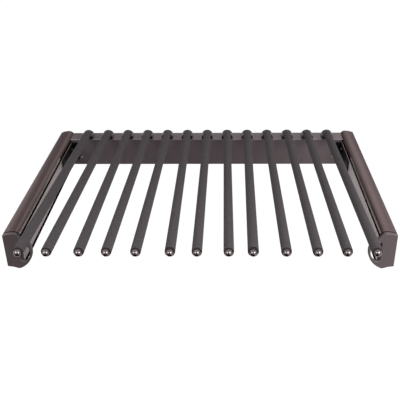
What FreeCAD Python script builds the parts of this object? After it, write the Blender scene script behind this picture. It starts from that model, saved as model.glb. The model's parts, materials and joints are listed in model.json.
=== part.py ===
"""A pull-out trouser rack for a wardrobe bay, as a parametric document in millimetres.

X runs across the bay from its middle, Y from the front ends of the fixed runners to the rear, and Z up
from the runners' centre line. The rack is drawn pushed in. Each piece is written to parts/ as its own file.
"""
import FreeCAD, Part
import math
import os
from types import SimpleNamespace

import Sketcher

# Driving sizes, in millimetres and degrees
SIZES = {
    # The bay, and the room between its walls and the moving pieces
    "bay_width": 564.0,
    "wall_gap": 1.0,
    # Telescopic runners: length, height, depth from the wall, and the folded sheet
    "runner_length": 350.0,
    "runner_height": 45.4,
    "runner_depth": 12.7,
    "runner_sheet": 1.4,
    "outer_flange": 10.4,
    "outer_lip": 1.9,
    "middle_inset": 1.0,
    "inner_lip": 1.8,
    # Rooms between the three nested members, which their glides fill
    "web_room": 1.2,
    "outer_room": 3.3,
    "inner_room": 3.9,
    "inner_back_room": 1.6,
    "running_gap": 0.3,
    "glide_length": 24.0,
    "buffer_length": 5.7,
    # Screw holes of the fixed member, on the hole rows that wardrobe sides have
    "wall_hole": 5.2,
    "first_hole": 37.0,
    "hole_spacing": 192.0,
    # Side rails: hollow bars that hang on the runners
    "rail_depth": 14.3,
    "rail_top": 20.5,
    "rail_height": 38.4,
    "rail_wall": 1.6,
    "groove_depth": 7.5,
    "groove_gap": 0.1,
    "seal_depth": 1.8,
    "strip_width": 7.0,
    "strip_height": 4.4,
    # Arched covers over the runners
    "cover_edge": 26.5,
    "cover_width": 24.3,
    "cover_wall": 1.6,
    "cover_overhang": 0.6,
    "crest_inset": 15.5,
    "crest_rise": 3.5,
    "lip_drop": 6.5,
    "leg_inset": 18.9,
    "leg_wall": 1.8,
    # End plates with their finger holes
    "plate_thickness": 5.0,
    "plate_lead": 5.0,
    "plate_height": 52.3,
    "plate_reach": 39.7,
    "lobe_level": 2.7,
    "lobe_radius": 34.65,
    "lobe_end_angle": 20.0,
    "shoulder_radius": 18.0,
    "shoulder_angle": 36.9,
    "kink_inset": 8.5,
    "kink_drop": 1.1,
    "plate_blend": 6.0,
    "plate_bevel": 0.6,
    "hole_edge": 21.0,
    "hole_radius": 18.9,
    "hole_centre": 16.6,
    "hole_corner": 4.0,
    "tenon_length": 12.0,
    "tenon_gap": 0.1,
    # Back rail: a folded channel, open below, that carries the bars
    "back_face": 334.6,
    "back_depth": 32.4,
    "back_height": 52.2,
    "back_sheet": 1.5,
    "back_lip": 14.0,
    "back_return": 9.0,
    "flange_reach": 1.6,
    # Bars: a hexagon core in a soft sleeve, and a domed cap; they start above the back rail's flange
    "bar_count": 13,
    "bar_margin": 28.5,
    "bar_offset": 1.5,
    "bar_angle": 3.85,
    "bar_start": 5.7,
    "bar_lift": 7.9,
    "core_flats": 8.0,
    "sleeve_diameter": 13.4,
    "sleeve_gap": 0.1,
    "sleeve_length": 449.6,
    "cap_diameter": 12.7,
    "cap_skirt": 2.0,
    "dome_tip_diameter": 5.0,
    "dome_rise": 5.9,
    # Arched seats on the back rail's flange, in which the bars' rear ends lie
    "seat_inset": 0.5,
    "seat_length": 18.5,
    "seat_radius": 9.6,
    "seat_wall": 1.9,
    "seat_gap": 0.1,
    # Corner brackets between the side rails and the back rail
    "bracket_sheet": 2.0,
    "bracket_height": 34.5,
    "bracket_bottom": -14.0,
    "bracket_side_leg": 83.0,
    "bracket_back_leg": 11.0,
}

# How far each bar leans to the right in its seat, in degrees, from the left one on
LEANS = (0.2, -0.1, 0.3, -0.1, -0.2, 0.5, 0.0, 0.3, -0.6, -0.1, 0.1, 0.0, -0.1)
SIZES.update({f"lean_{number:02d}": lean for number, lean in enumerate(LEANS, start=1)})

SIDES = (("left", -1), ("right", 1))
RIGHT_TURN, LEFT_TURN = -1, 1
V = FreeCAD.Vector


class Size:
    """A size: its value now, and the formula that ties it to the sheet."""

    def __init__(self, value, text):
        self.value = value
        self.text = text

    def __add__(self, other):
        other = size(other)
        return Size(self.value + other.value, f"({self.text} + {other.text})")

    def __sub__(self, other):
        other = size(other)
        return Size(self.value - other.value, f"({self.text} - {other.text})")

    def __mul__(self, other):
        other = size(other)
        return Size(self.value * other.value, f"({self.text} * {other.text})")

    def __truediv__(self, other):
        other = size(other)
        return Size(self.value / other.value, f"({self.text} / {other.text})")

    def __neg__(self):
        return Size(-self.value, f"(-{self.text})")


def size(number):
    """A plain number as a Size."""
    return number if isinstance(number, Size) else Size(float(number), f"({float(number)})")


def sine(angle):
    return Size(math.sin(math.radians(angle.value)), f"sin({angle.text} * 1deg)")


def cosine(angle):
    return Size(math.cos(math.radians(angle.value)), f"cos({angle.text} * 1deg)")


def root(square):
    return Size(math.sqrt(square.value), f"sqrt({square.text})")


def arch_radius(run, rise):
    """The radius of an arc that leaves its crest level and drops by rise over run."""
    return (run * run + rise * rise) / (rise * 2)


doc = FreeCAD.newDocument("trouser_rack")
sheet = doc.addObject("Spreadsheet::Sheet", "Sizes")
for row, (alias, number) in enumerate(SIZES.items(), start=1):
    sheet.set(f"A{row}", alias)
    sheet.set(f"B{row}", str(number))
    sheet.setAlias(f"B{row}", alias)
doc.recompute()
s = SimpleNamespace(**{alias: Size(float(number), f"Sizes.{alias}") for alias, number in SIZES.items()})

# Shared places across a side: distances inward from the bay's wall
half_bay = s.bay_width / 2
middle_back = s.runner_sheet + s.web_room
middle_front = middle_back + s.runner_sheet
middle_edge = s.outer_flange - s.middle_inset
inner_back = middle_front + s.inner_back_room
inner_front = inner_back + s.runner_sheet
rail_inner = s.runner_depth + s.rail_depth
leg_middle = s.wall_gap + s.leg_inset

# Shared heights of the runner's flanges above its centre line
outer_top = s.runner_height / 2
outer_under = outer_top - s.runner_sheet
outer_lip_end = outer_under - s.outer_lip
middle_top = outer_under - s.outer_room
middle_under = middle_top - s.runner_sheet
inner_top = middle_under - s.inner_room
inner_under = inner_top - s.runner_sheet
inner_lip_end = inner_top + s.inner_lip

# Shared heights and depths of the rack
rail_bottom = s.rail_top - s.rail_height
groove_floor = s.rail_top - s.groove_depth
groove_near = leg_middle - s.leg_wall / 2 - s.groove_gap
groove_far = rail_inner - s.rail_wall
crest = s.cover_edge + s.crest_rise
plate_front = -(s.plate_lead + s.plate_thickness)
rail_front = -s.plate_lead
back_end = s.back_face + s.back_depth
rail_length = back_end - rail_front

# The arch of covers and end plates: outer arc, inner shoulder arc and their centres
shoulder_run = s.cover_width - s.crest_inset
arch = arch_radius(s.crest_inset, s.crest_rise)
shoulder = arch_radius(shoulder_run, s.lip_drop)
lip_height = crest - s.lip_drop

# Where the bars are: their row across the rack
bar_row = s.bay_width - (rail_inner + s.bar_margin) * 2
bar_pitch = bar_row / (s.bar_count - 1)
first_bar = s.bar_offset - bar_row / 2


def place(x, y, z, yaw=0, roll=0):
    """The formula of a placement: a point, turned about X by roll and then about Z by yaw."""
    point = "; ".join(size(part).text for part in (x, y, z))
    return f"placement(vector({point}); rotation({size(yaw).text}; 0; {size(roll).text}))"


def new_body(label, *where):
    """An empty body that stands at a place of the rack."""
    body = doc.addObject("PartDesign::Body", label)
    body.Label = label
    body.AllowCompound = True
    body.setExpression("Placement", place(*where))
    return body


def origin_feature(body, role):
    return next(feature for feature in body.Origin.OriginFeatures if feature.Role == role)


def new_sketch(body, name, role, *where):
    """A sketch on one of the body's own planes, moved and turned from it to a place."""
    sketch = body.newObject("Sketcher::SketchObject", name)
    sketch.AttachmentSupport = (origin_feature(body, role), [""])
    sketch.MapMode = "FlatFace"
    if where:
        sketch.setExpression("AttachmentOffset", place(*where))
    return sketch


def pin_point(sketch, curve, end, across, up):
    """Ties one end of a curve to its two distances from the sketch's origin."""
    for kind, place in (("DistanceX", across), ("DistanceY", up)):
        index = sketch.addConstraint(Sketcher.Constraint(kind, -1, 1, curve, end, place.value))
        sketch.setExpression(f"Constraints[{index}]", place.text)


def arc_between(start, end, radius, turn):
    """The arc of under half a turn from start to end, bending left or right on its way."""
    chord = end - start
    reach = math.sqrt(radius ** 2 - (chord.Length / 2) ** 2)
    side = V(-chord.y, chord.x, 0).normalize() * (reach * turn)
    centre = (start + end) / 2 + side
    angles = [math.atan2(p.y - centre.y, p.x - centre.x) for p in (start, end)]
    return Part.ArcOfCircle(Part.Circle(centre, V(0, 0, 1), radius), *angles[::turn])


def draw_loop(sketch, corners):
    """Draws one closed outline. A corner is (across, up), or (across, up, radius, turn) before an arc."""
    points = [(size(corner[0]), size(corner[1])) for corner in corners]
    spots = [V(across.value, up.value, 0) for across, up in points]
    ends = []
    for index, corner in enumerate(corners):
        start, end = spots[index], spots[(index + 1) % len(corners)]
        if len(corner) == 2:
            curve = sketch.addGeometry(Part.LineSegment(start, end))
            ends.append((curve, 1, 2))
        else:
            radius, turn = corner[2:]
            curve = sketch.addGeometry(arc_between(start, end, radius.value, turn))
            ends.append((curve, 1, 2) if turn == LEFT_TURN else (curve, 2, 1))
    for index, (curve, first, last) in enumerate(ends):
        following = ends[(index + 1) % len(ends)]
        sketch.addConstraint(Sketcher.Constraint("Coincident", curve, last, following[0], following[1]))
        pin_point(sketch, curve, first, *points[index])
        if len(corners[index]) > 2:
            radius = corners[index][2]
            bend = sketch.addConstraint(Sketcher.Constraint("Radius", curve, radius.value))
            sketch.setExpression(f"Constraints[{bend}]", radius.text)


def draw_circle(sketch, across, up, diameter):
    across, up = size(across), size(up)
    curve = sketch.addGeometry(Part.Circle(V(across.value, up.value, 0), V(0, 0, 1), diameter.value / 2))
    pin_point(sketch, curve, 3, across, up)
    wide = sketch.addConstraint(Sketcher.Constraint("Diameter", curve, diameter.value))
    sketch.setExpression(f"Constraints[{wide}]", diameter.text)


def add_pad(body, name, role, loops, length, lift=0, disc=None, **settings):
    """Pads a section by a length: one or more loops, in a disc about the origin if its diameter is given."""
    sketch = new_sketch(body, f"{name}_section", role, 0, 0, lift)
    if disc is not None:
        draw_circle(sketch, 0, 0, disc)
    for corners in loops:
        draw_loop(sketch, corners)
    pad = body.newObject("PartDesign::Pad", name)
    pad.Profile = sketch
    pad.setExpression("Length", size(length).text)
    for setting, value in settings.items():
        setattr(pad, setting, value)
    return pad


def add_turning(body, name, corners, *where):
    """Turns a half section about the Y axis of a place in the body."""
    sketch = new_sketch(body, f"{name}_half", "XY_Plane", *where)
    draw_loop(sketch, corners)
    turning = body.newObject("PartDesign::Revolution", name)
    turning.Profile = sketch
    turning.ReferenceAxis = (sketch, ["V_Axis"])
    turning.Angle = 360
    return turning


def cut_through(body, name, sketch, length=None, flip=False):
    """Pockets a sketch by a length, or right through, and makes sure that it removed something."""
    doc.recompute()
    before = body.Shape.Volume
    pocket = body.newObject("PartDesign::Pocket", name)
    pocket.Profile = sketch
    pocket.Reversed = flip
    if length is None:
        pocket.Type = "ThroughAll"
    else:
        pocket.setExpression("Length", length.text)
    doc.recompute()
    if body.Shape.Volume >= before:
        raise RuntimeError(f"{name} cuts nothing from {body.Label}")
    return pocket


def repeat_per_bar(body, name, *features):
    """Repeats features across the rack, once for each bar."""
    doc.recompute()
    pattern = body.newObject("PartDesign::LinearPattern", name)
    pattern.Originals = list(features)
    pattern.Direction = (origin_feature(body, "X_Axis"), [""])
    pattern.setExpression("Length", bar_row.text)
    pattern.setExpression("Occurrences", s.bar_count.text)
    body.Tip = pattern
    return pattern


def upright_edges(shape, places):
    """Names of the edges along Y that stand at the given places of a section."""
    names = []
    for index, edge in enumerate(shape.Edges, start=1):
        ends = [vertex.Point for vertex in edge.Vertexes]
        along_y = len(ends) == 2 and abs(ends[0].x - ends[1].x) + abs(ends[0].z - ends[1].z) < 1e-6
        if along_y and any(math.hypot(ends[0].x - x, ends[0].z - z) < 1e-3 for x, z in places):
            names.append(f"Edge{index}")
    return names


def add_edge_feature(body, kind, name, base, picked, setting, amount):
    """Rounds or bevels the picked edges of the feature that the body ends in so far."""
    feature = body.newObject(f"PartDesign::{kind}", name)
    feature.Base = (base, picked)
    feature.setExpression(setting, amount.text)
    doc.recompute()
    return feature


def inward(side, distance):
    """The local X of a point that lies a distance inward from the wall on this side."""
    return size(distance) * -side


def side_section(side, points):
    """A section drawn as distances inward and heights, as corners on this side of the rack."""
    return [(inward(side, point[0]), point[1], *point[2:]) for point in points]


def channel_section(side, upper):
    """A section that is the same above and below the runner's centre line, from its upper half."""
    lower = [(distance, -height) for distance, height in reversed(upper)]
    return side_section(side, upper + lower)


def along_y(body, name, section, length):
    """A straight extrusion from the body's own plane towards the rear."""
    return add_pad(body, name, "XZ_Plane", section, length, Reversed=True)


def make_outer_member(name, side):
    """The fixed member: a lipped channel on the wardrobe's side, with two screw holes."""
    body = new_body(f"{name}_outer_member", half_bay * side, 0, 0)
    edge_back = s.outer_flange - s.runner_sheet
    upper = [(size(0), outer_top), (s.outer_flange, outer_top), (s.outer_flange, outer_lip_end),
             (edge_back, outer_lip_end), (edge_back, outer_under), (s.runner_sheet, outer_under)]
    length = s.runner_length + s.running_gap + s.buffer_length
    along_y(body, "channel", [channel_section(side, upper)], length)
    holes = new_sketch(body, "screw_holes", "YZ_Plane")
    for place in (s.first_hole, s.first_hole + s.hole_spacing):
        draw_circle(holes, place, 0, s.wall_hole)
    cut_through(body, "drilled", holes, flip=side < 0)


def make_outer_guide(name, side):
    """The nylon mouth of the fixed member: it lines the channel and hooks round the middle member."""
    body = new_body(f"{name}_outer_guide", half_bay * side, 0, 0)
    edge_back = s.outer_flange - s.runner_sheet
    slide_top = middle_top + s.running_gap
    hook_back = middle_edge + s.running_gap
    upper = [(s.runner_sheet, outer_under), (edge_back, outer_under), (edge_back, outer_lip_end),
             (s.outer_flange, outer_lip_end), (s.outer_flange, middle_under), (hook_back, middle_under),
             (hook_back, slide_top), (middle_back - s.running_gap, slide_top)]
    along_y(body, "liner", [channel_section(side, upper)], s.glide_length)


def make_rear_buffer(name, side):
    """The rubber stop in the rear end of the fixed member."""
    body = new_body(f"{name}_rear_buffer", half_bay * side, s.runner_length + s.running_gap, 0)
    front = s.outer_flange - s.runner_sheet - s.running_gap
    upper = [(s.runner_sheet, outer_lip_end), (front, outer_lip_end)]
    along_y(body, "block", [channel_section(side, upper)], s.buffer_length)


def make_middle_member(name, side):
    """The middle member: a channel that runs half as far as the rack."""
    body = new_body(f"{name}_middle_member", half_bay * side, 0, 0)
    upper = [(middle_back, middle_top), (middle_edge, middle_top), (middle_edge, middle_under),
             (middle_front, middle_under)]
    along_y(body, "channel", [channel_section(side, upper)], s.runner_length)


def make_middle_shoe(name, side):
    """The glide on the middle member's rear end, which runs in the fixed member."""
    body = new_body(f"{name}_middle_shoe", half_bay * side, s.runner_length - s.glide_length, 0)
    run_top = outer_under - s.running_gap
    edge = s.outer_flange - s.runner_sheet - s.running_gap
    upper = [(s.runner_sheet + s.running_gap, run_top), (edge, run_top), (edge, middle_top),
             (middle_back, middle_top)]
    along_y(body, "glide", [channel_section(side, upper)], s.glide_length)


def make_middle_guide(name, side):
    """The mouth of the middle member, which hooks over the lips of the inner member."""
    body = new_body(f"{name}_middle_guide", half_bay * side, 0, 0)
    over_lip = inner_lip_end + s.running_gap
    hook_back = inner_front + s.running_gap
    upper = [(middle_front, middle_under), (middle_edge, middle_under),
             (middle_edge, inner_top + s.running_gap), (hook_back, inner_top + s.running_gap),
             (hook_back, over_lip), (inner_back - s.running_gap, over_lip)]
    along_y(body, "liner", [channel_section(side, upper)], s.glide_length)


def make_inner_member(name, side):
    """The inner member: a hat section whose web carries the side rail."""
    body = new_body(f"{name}_inner_member", half_bay * side, 0, 0)
    upper = [(s.runner_depth, inner_top), (inner_front, inner_top), (inner_front, inner_lip_end),
             (inner_back, inner_lip_end), (inner_back, inner_under),
             (s.runner_depth - s.runner_sheet, inner_under)]
    along_y(body, "hat", [channel_section(side, upper)], s.runner_length)


def make_inner_shoe(name, side):
    """The glide on the inner member's rear end, which wraps its lips and runs in the middle member."""
    body = new_body(f"{name}_inner_shoe", half_bay * side, s.runner_length - s.glide_length, 0)
    run_top = middle_under - s.running_gap
    edge = middle_edge - s.running_gap
    upper = [(middle_front + s.running_gap, run_top), (edge, run_top), (edge, inner_top),
             (inner_front, inner_top), (inner_front, inner_lip_end), (inner_back, inner_lip_end)]
    along_y(body, "glide", [channel_section(side, upper)], s.glide_length)


def make_side_rail(name, side):
    """The hollow side rail, with a groove along its top for the cover's leg and the seal beside it."""
    body = new_body(f"{name}_side_rail", half_bay * side, rail_front, 0)
    outside = [(s.runner_depth, rail_bottom), (rail_inner, rail_bottom), (rail_inner, s.rail_top),
               (groove_far, s.rail_top), (groove_far, groove_floor), (groove_near, groove_floor),
               (groove_near, s.rail_top), (s.runner_depth, s.rail_top)]
    hollow_back, hollow_bottom = s.runner_depth + s.rail_wall, rail_bottom + s.rail_wall
    hollow_top, step_top = s.rail_top - s.rail_wall, groove_floor - s.rail_wall
    step = groove_near - s.rail_wall
    inside = [(hollow_back, hollow_bottom), (groove_far, hollow_bottom), (groove_far, step_top),
              (step, step_top), (step, hollow_top), (hollow_back, hollow_top)]
    along_y(body, "extrusion", [side_section(side, outside), side_section(side, inside)], rail_length)


def make_groove_seal(name, side):
    """The black seal that wedges the cover's leg in the side rail's groove."""
    body = new_body(f"{name}_groove_seal", half_bay * side, rail_front, 0)
    near, top = leg_middle + s.leg_wall / 2, s.rail_top - s.seal_depth
    corners = [(near, groove_floor), (groove_far, groove_floor), (groove_far, top), (near, top)]
    along_y(body, "seal", [side_section(side, corners)], rail_length)


def make_edge_strip(name, side):
    """The black strip under the side rail's inner edge."""
    body = new_body(f"{name}_edge_strip", half_bay * side, rail_front, 0)
    back = rail_inner - s.strip_width
    bottom = rail_bottom - s.strip_height
    corners = [(back, bottom), (rail_inner, bottom), (rail_inner, rail_bottom), (back, rail_bottom)]
    along_y(body, "strip", [side_section(side, corners)], rail_length)


def make_cover(name, side):
    """The arched cover over the runner, and the leg that stands in the side rail's groove."""
    body = new_body(f"{name}_cover", half_bay * side, rail_front, 0)
    length = rail_length + s.cover_overhang
    edge, top = s.wall_gap, s.wall_gap + s.crest_inset
    inner_arch, inner_shoulder = arch - s.cover_wall, shoulder - s.cover_wall
    under_edge = crest - arch + root(inner_arch * inner_arch - s.crest_inset * s.crest_inset)
    share = inner_shoulder / shoulder
    lip_in = top + shoulder_run * share
    lip_under = crest - shoulder + (shoulder - s.lip_drop) * share
    over, back = RIGHT_TURN * -side, LEFT_TURN * -side
    section = [(edge, s.cover_edge, arch, over), (top, crest, shoulder, over),
               (edge + s.cover_width, lip_height), (lip_in, lip_under, inner_shoulder, back),
               (top, crest - s.cover_wall, inner_arch, back), (edge, under_edge)]
    along_y(body, "shell", [side_section(side, section)], length)
    half_leg = s.leg_wall / 2
    leg_top = crest - s.cover_wall
    leg = [(leg_middle - half_leg, groove_floor), (leg_middle + half_leg, groove_floor),
           (leg_middle + half_leg, leg_top), (leg_middle - half_leg, leg_top)]
    along_y(body, "leg", [side_section(side, leg)], length)


def make_end_plate(name, side):
    """The end plate: arched top, sloping shoulder, round lobe with a finger hole, and a tenon behind."""
    body = new_body(f"{name}_end_plate", half_bay * side, plate_front, 0)
    edge, top = s.wall_gap, s.wall_gap + s.crest_inset
    reach = edge + s.plate_reach
    shoulder_middle = reach - s.shoulder_radius
    slope_end = (shoulder_middle + s.shoulder_radius * sine(s.shoulder_angle),
                 s.lobe_level + s.shoulder_radius * cosine(s.shoulder_angle))
    lobe_foot = (reach - s.lobe_radius + s.lobe_radius * sine(s.lobe_end_angle),
                 s.lobe_level - s.lobe_radius * cosine(s.lobe_end_angle))
    corner = s.cover_edge - s.plate_height
    kink = (edge + s.kink_inset, corner - s.kink_drop)
    over = RIGHT_TURN * -side
    outline = [(edge, s.cover_edge, arch, over), (top, crest, shoulder, over),
               (edge + s.cover_width, lip_height), (*slope_end, s.shoulder_radius, over),
               (reach, s.lobe_level, s.lobe_radius, over), lobe_foot, kink, (edge, corner)]
    hole_side = edge + s.hole_edge
    hole_middle = edge + s.hole_centre
    offset = hole_side - hole_middle
    half_hole = root(s.hole_radius * s.hole_radius - offset * offset)
    ends = [(hole_side, s.lobe_level + half_hole), (hole_side, s.lobe_level - half_hole)]
    round_on = LEFT_TURN * -side
    hole = [ends[0], (*ends[1], s.hole_radius, round_on),
            (hole_middle + s.hole_radius, s.lobe_level, s.hole_radius, round_on)]
    plate = along_y(body, "plate", [side_section(side, outline), side_section(side, hole)], s.plate_thickness)
    doc.recompute()

    def places(points):
        return [(inward(side, distance).value, height.value) for distance, height in points]

    picked = upright_edges(plate.Shape, places([lobe_foot, kink]))
    blended = add_edge_feature(body, "Fillet", "blended_foot", plate, picked, "Radius", s.plate_blend)
    picked = upright_edges(blended.Shape, places(ends))
    eased = add_edge_feature(body, "Fillet", "eased_hole", blended, picked, "Radius", s.hole_corner)
    front = min(range(len(eased.Shape.Faces)), key=lambda index: eased.Shape.Faces[index].CenterOfMass.y)
    add_edge_feature(body, "Chamfer", "bevelled_front", eased, [f"Face{front + 1}"], "Size", s.plate_bevel)

    inset = s.rail_wall + s.tenon_gap
    back, face = s.runner_depth + inset, rail_inner - inset
    low, high = rail_bottom + inset, groove_floor - inset
    tenon = [(back, low), (face, low), (face, high), (back, high)]
    add_pad(body, "tenon", "XZ_Plane", [side_section(side, tenon)], s.tenon_length,
            lift=-s.plate_thickness, Reversed=True)


def make_corner_bracket(name, side):
    """The angle that ties a side rail to the back rail."""
    body = new_body(f"{name}_corner_bracket", (half_bay - rail_inner) * side, s.back_face, s.bracket_bottom)
    sheet_in = inward(side, s.bracket_sheet)
    leg_in = inward(side, s.bracket_back_leg)
    corners = [(0, 0), (0, -s.bracket_side_leg), (sheet_in, -s.bracket_side_leg),
               (sheet_in, -s.bracket_sheet), (leg_in, -s.bracket_sheet), (leg_in, 0)]
    add_pad(body, "angle", "XY_Plane", [corners], s.bracket_height)


def make_back_rail():
    """The back rail: a folded channel whose top flange carries the bars' seats and reaches to the covers."""
    body = new_body("back_rail", 0, s.back_face, s.cover_edge)
    wall = s.back_sheet
    section = [(0, 0), (s.back_depth, 0), (s.back_depth, -s.back_lip), (s.back_depth - wall, -s.back_lip),
               (s.back_depth - wall, -wall), (wall, -wall), (wall, wall - s.back_height),
               (s.back_return, wall - s.back_height), (s.back_return, -s.back_height), (0, -s.back_height)]
    length = s.bay_width - rail_inner * 2
    add_pad(body, "channel", "YZ_Plane", [section], length, SideType="Symmetric")
    flange = [(0, 0), (s.back_depth, 0), (s.back_depth, -wall), (0, -wall)]
    add_pad(body, "flange_ends", "YZ_Plane", [flange], length + s.flange_reach * 2, SideType="Symmetric")


def make_bar_seats():
    """The row of seats: arched blocks on the flange, each with a round bed for the rear end of a bar."""
    body = new_body("bar_seats", first_bar, s.back_face + s.seat_inset, s.cover_edge)
    half, wall = s.seat_radius, s.seat_wall
    arched = [(-half, 0), (half, 0), (half, wall, half, LEFT_TURN), (0, wall + half, half, LEFT_TURN),
              (-half, wall)]
    block = along_y(body, "block", [arched], s.seat_length)
    bed = new_sketch(body, "bed_circle", "XZ_Plane", 0, s.bar_lift, s.seat_inset - s.bar_start, 0, -s.bar_angle)
    draw_circle(bed, 0, 0, s.sleeve_diameter + s.seat_gap * 2)
    repeat_per_bar(body, "seat_row", block, cut_through(body, "bed", bed, flip=True))


def bar_place(bar):
    """Where a bar starts in the row of bars, and how it leans and rises."""
    lean = getattr(s, f"lean_{bar % len(LEANS) + 1:02d}")
    return first_bar + bar_pitch * bar, 0, 0, lean, -s.bar_angle


def new_bar_body(label, bar):
    """A body on a bar's axis: its origin is the sleeve's rear end, and its -Y points along the bar."""
    x, _, _, lean, rise = bar_place(bar)
    return new_body(label, x, s.back_face + s.bar_start, s.cover_edge + s.bar_lift, lean, rise)


def hexagon(flats):
    """The corners of a hexagon about the origin, from its width across flats."""
    corner, flat = flats / root(size(3)), flats / 2
    return [(corner, 0), (corner / 2, flat), (-corner / 2, flat), (-corner, 0), (-corner / 2, -flat),
            (corner / 2, -flat)]


def make_bar(bar):
    """One bar: a steel hexagon core, and the soft sleeve that it keeps from turning."""
    core = new_bar_body(f"bar_core_{bar + 1:02d}", bar)
    add_pad(core, "rod", "XZ_Plane", [hexagon(s.core_flats)], s.sleeve_length)
    sleeve = new_bar_body(f"bar_sleeve_{bar + 1:02d}", bar)
    bore = hexagon(s.core_flats + s.sleeve_gap * 2)
    add_pad(sleeve, "tube", "XZ_Plane", [bore], s.sleeve_length, disc=s.sleeve_diameter)


def make_bar_end_caps():
    """The domed caps on the front ends of the bars."""
    body = new_body("bar_end_caps", 0, s.back_face + s.bar_start, s.cover_edge + s.bar_lift)
    skirt_end = s.sleeve_length + s.cap_skirt
    tip_end = skirt_end + s.dome_rise
    section = [(0, -s.sleeve_length), (s.cap_diameter / 2, -s.sleeve_length), (s.cap_diameter / 2, -skirt_end),
               (s.dome_tip_diameter / 2, -tip_end), (0, -tip_end)]
    for bar in range(SIZES["bar_count"]):
        add_turning(body, f"cap_{bar + 1:02d}", section, *bar_place(bar))


for side_name, side_sign in SIDES:
    for make in (make_outer_member, make_outer_guide, make_rear_buffer, make_middle_member, make_middle_shoe,
                 make_middle_guide, make_inner_member, make_inner_shoe, make_side_rail, make_groove_seal,
                 make_edge_strip, make_cover, make_end_plate, make_corner_bracket):
        make(side_name, side_sign)
make_back_rail()
make_bar_seats()
for bar in range(SIZES["bar_count"]):
    make_bar(bar)
make_bar_end_caps()
doc.recompute()

# Nothing is written unless every object is sound
for item in doc.Objects:
    if "Invalid" in item.State or "Error" in item.State:
        raise RuntimeError(f"{item.Label} failed: {item.State}")
bodies = [item for item in doc.Objects if item.TypeId == "PartDesign::Body"]
for body in bodies:
    if body.Shape.isNull() or not body.Shape.isValid() or not body.Shape.Solids:
        raise RuntimeError(f"{body.Label} has no sound shape")

os.makedirs("parts", exist_ok=True)
for body in bodies:
    body.Shape.exportStep(f"parts/{body.Label}.step")
print(f"{len(bodies)} nodes, {sum(len(body.Shape.Solids) for body in bodies)} solids")
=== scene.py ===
"""Looks of a pull-out trouser rack.

Finished pieces, materials and a white studio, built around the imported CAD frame.
"""
import json
import math

import bmesh
import bpy
from mathutils import Euler, Matrix, Vector

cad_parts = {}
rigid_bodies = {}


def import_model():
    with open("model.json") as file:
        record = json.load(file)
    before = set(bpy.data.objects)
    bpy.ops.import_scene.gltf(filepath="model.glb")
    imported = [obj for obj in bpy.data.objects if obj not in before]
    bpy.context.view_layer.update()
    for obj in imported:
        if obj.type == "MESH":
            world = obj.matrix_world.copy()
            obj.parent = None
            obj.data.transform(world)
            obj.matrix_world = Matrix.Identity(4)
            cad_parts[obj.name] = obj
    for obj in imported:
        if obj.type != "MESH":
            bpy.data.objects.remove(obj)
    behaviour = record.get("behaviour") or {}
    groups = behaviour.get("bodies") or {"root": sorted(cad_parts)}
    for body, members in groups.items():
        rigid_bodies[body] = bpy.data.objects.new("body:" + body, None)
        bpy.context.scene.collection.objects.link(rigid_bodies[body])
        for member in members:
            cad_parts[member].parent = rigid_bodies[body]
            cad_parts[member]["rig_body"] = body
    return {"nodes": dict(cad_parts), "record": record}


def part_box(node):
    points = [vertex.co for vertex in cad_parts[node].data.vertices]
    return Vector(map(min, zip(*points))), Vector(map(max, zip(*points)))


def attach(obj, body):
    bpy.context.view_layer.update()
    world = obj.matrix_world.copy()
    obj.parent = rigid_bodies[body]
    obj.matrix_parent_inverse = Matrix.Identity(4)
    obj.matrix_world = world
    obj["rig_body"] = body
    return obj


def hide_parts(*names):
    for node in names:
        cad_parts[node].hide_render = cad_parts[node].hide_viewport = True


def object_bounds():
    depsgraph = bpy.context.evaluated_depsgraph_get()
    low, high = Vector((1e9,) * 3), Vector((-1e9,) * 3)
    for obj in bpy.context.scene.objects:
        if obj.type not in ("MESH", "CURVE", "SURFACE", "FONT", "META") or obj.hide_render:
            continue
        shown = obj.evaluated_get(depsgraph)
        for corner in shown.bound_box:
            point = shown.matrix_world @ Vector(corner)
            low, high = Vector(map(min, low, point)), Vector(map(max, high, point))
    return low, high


bl_info = {
    "name": "Trouser Rack Finish",
    "version": (1, 0, 0),
    "blender": (4, 5, 0),
    "location": "View3D > Sidebar > Trouser Rack",
    "description": "Finishes the pieces of a pull-out trouser rack and lights them in a white studio",
    "category": "Object",
}

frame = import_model()
CAD_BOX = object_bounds()
BARS = sorted(node for node in frame["nodes"] if node.startswith("bar_sleeve_"))
# Each side of the rack, and which way along X leads out of it
OUTWARD = {"left": -1, "right": 1}

MM = 0.001
WELD = 0.001 * MM  # Points this close are one point
TOUCH = 0.01 * MM  # A point this close to a plane lies on it
ON_ARCH = 0.05 * MM  # A point this close to a seat's arch lies on it
CLEARANCE = 0.1 * MM  # Room between a sleeve's bore and its core, and round a seat
FLAT = math.radians(0.5)  # Faces that turn by less are joined
CORNER = math.radians(30)  # Edges that turn by more are corners
SQUARE = math.radians(60)  # Edges that turn by more are square corners
SHARP = math.radians(35)  # Edges that turn by more are shown sharp
FACING = 0.9  # A normal with more than this along an axis faces that way
STEEP = 0.7  # A normal with more than this along X is on a steep face
UPWARD = 0.5  # A normal with more than this along Z looks up

SLEEVE_STEPS = 56  # Facets round a sleeve
COLLAR_STEPS = 48  # Facets round a collar
DOME_STEPS = (48, 32)  # Facets round a dome, and from pole to pole of its ball
CROWN_SHARE = 0.6  # Share of a screw head's height that is domed
CROSS_SHARE = 0.55  # Share of a screw head's radius that its cross reaches
LONG_FOLD = 0.4  # Edges of the back rail longer than this run its whole length
FLANGE_SHEET = 1.5 * MM
FLANGE_SCREW_BACK = 16 * MM  # From the back rail's rear to the screws under its flange
BRACKET_SHEET = 2 * MM
# Screws of a bracket's side leg: how far before its rear and below its top
BRACKET_SCREWS = ((13 * MM, 8.5 * MM), (26 * MM, 26.5 * MM), (70 * MM, 17 * MM))
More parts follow.
